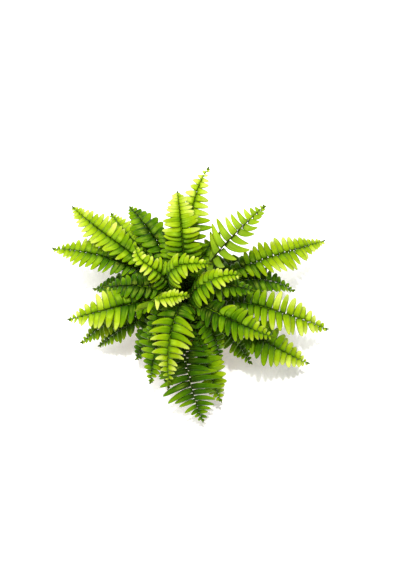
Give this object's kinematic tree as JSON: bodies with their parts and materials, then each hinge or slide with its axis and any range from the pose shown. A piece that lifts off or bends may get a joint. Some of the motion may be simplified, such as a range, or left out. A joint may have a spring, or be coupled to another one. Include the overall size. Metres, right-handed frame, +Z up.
{
  "type": "potted fern",
  "caption": "Arching sword fern with forty-odd separate fronds round a scaly crown, growing in potting mix in a plain tapered clay pot.",
  "frame": {"origin": "centre of the pot's base, on the surface it stands on", "axes": "+Z up along the pot's axis, +Y towards the plant's back, +X towards its right side"},
  "size_m": [0.4003, 0.311, 0.26],
  "materials": {
    "clay": "matte fired clay with a faint mineral bloom",
    "potting_mix": "loose dark granules of peat, bark and perlite",
    "crown_scales": "dull brown papery scales",
    "young_frond": "soft satin leaf, lime green",
    "grown_frond": "soft satin leaf, mid green",
    "old_frond": "satin leaf, deep green"
  },
  "bodies": {
    "root": {"pot": "clay", "potting_mix": "potting_mix", "crown": "crown_scales", "frond_back_upright": "young_frond", "frond_back_tall": "young_frond", "frond_turned": "young_frond", "frond_over_middle": "young_frond", "frond_front_right_high": "young_frond", "frond_centre_small": "young_frond", "frond_front": "young_frond", "frond_left_small": "young_frond", "frond_front_right": "young_frond", "frond_back_left_inner": "grown_frond", "frond_right_back": "grown_frond", "frond_right_inner": "grown_frond", "frond_right": "grown_frond", "frond_right_front": "grown_frond", "frond_back_left_outer": "grown_frond", "frond_back_left_dark": "grown_frond", "frond_left_back": "grown_frond", "frond_left": "grown_frond", "frond_front_low": "grown_frond", "frond_front_drooping": "grown_frond", "frond_front_left_low": "grown_frond", "frond_left_under": "old_frond", "frond_left_under_short": "old_frond", "frond_skirt_01": "old_frond", "frond_skirt_02": "old_frond", "frond_skirt_03": "old_frond", "frond_skirt_04": "old_frond", "frond_skirt_05": "old_frond", "frond_skirt_06": "old_frond", "frond_skirt_07": "old_frond", "frond_skirt_08": "old_frond", "frond_skirt_09": "old_frond", "frond_skirt_10": "old_frond", "frond_skirt_11": "old_frond", "frond_skirt_12": "old_frond", "frond_skirt_13": "old_frond", "frond_skirt_14": "old_frond", "frond_young_01": "young_frond", "frond_young_02": "young_frond", "frond_young_03": "young_frond", "frond_young_04": "young_frond", "frond_young_05": "young_frond"}
  },
  "joints": []
}
